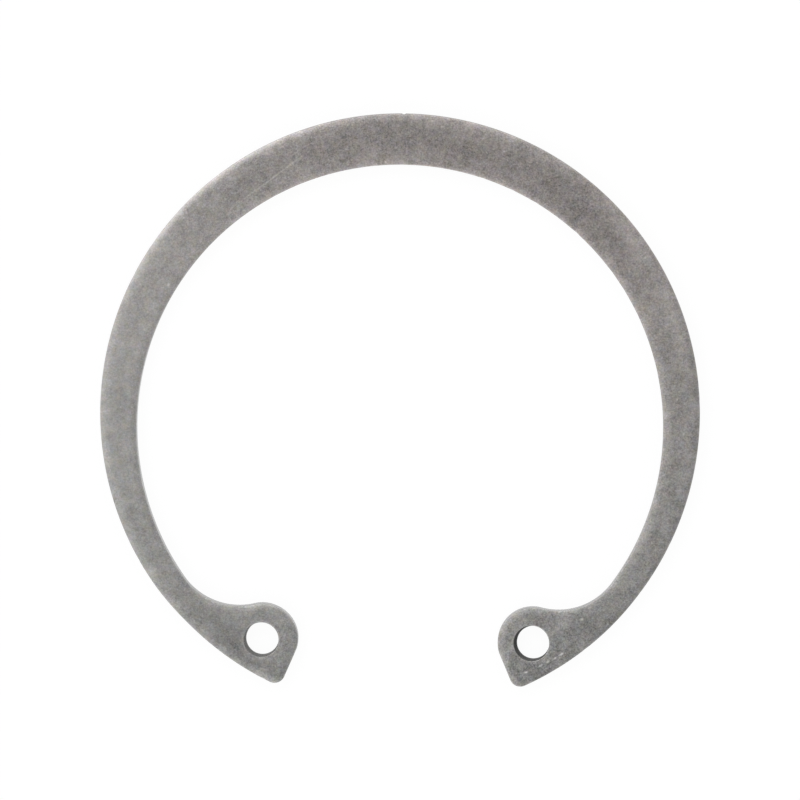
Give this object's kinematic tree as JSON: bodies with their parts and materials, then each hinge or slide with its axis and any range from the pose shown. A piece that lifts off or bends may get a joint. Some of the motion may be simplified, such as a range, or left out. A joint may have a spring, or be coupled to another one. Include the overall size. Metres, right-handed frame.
{
  "type": "internal retaining ring",
  "caption": "Internal circlip of stamped spring steel with two plier lugs, for a 52 mm bore, shown free and lying flat.",
  "frame": {"origin": "centre of the ring's outer circle, at half the thickness", "axes": "+Z normal to the ring, out of the face with the rolled edges; the gap between the lugs faces -Y"},
  "size_m": [0.0562, 0.0536, 0.002],
  "materials": {
    "spring_steel": "tumbled, dull grey with fine mottle"
  },
  "bodies": {
    "root": {"retaining_ring": "spring_steel"}
  },
  "joints": []
}
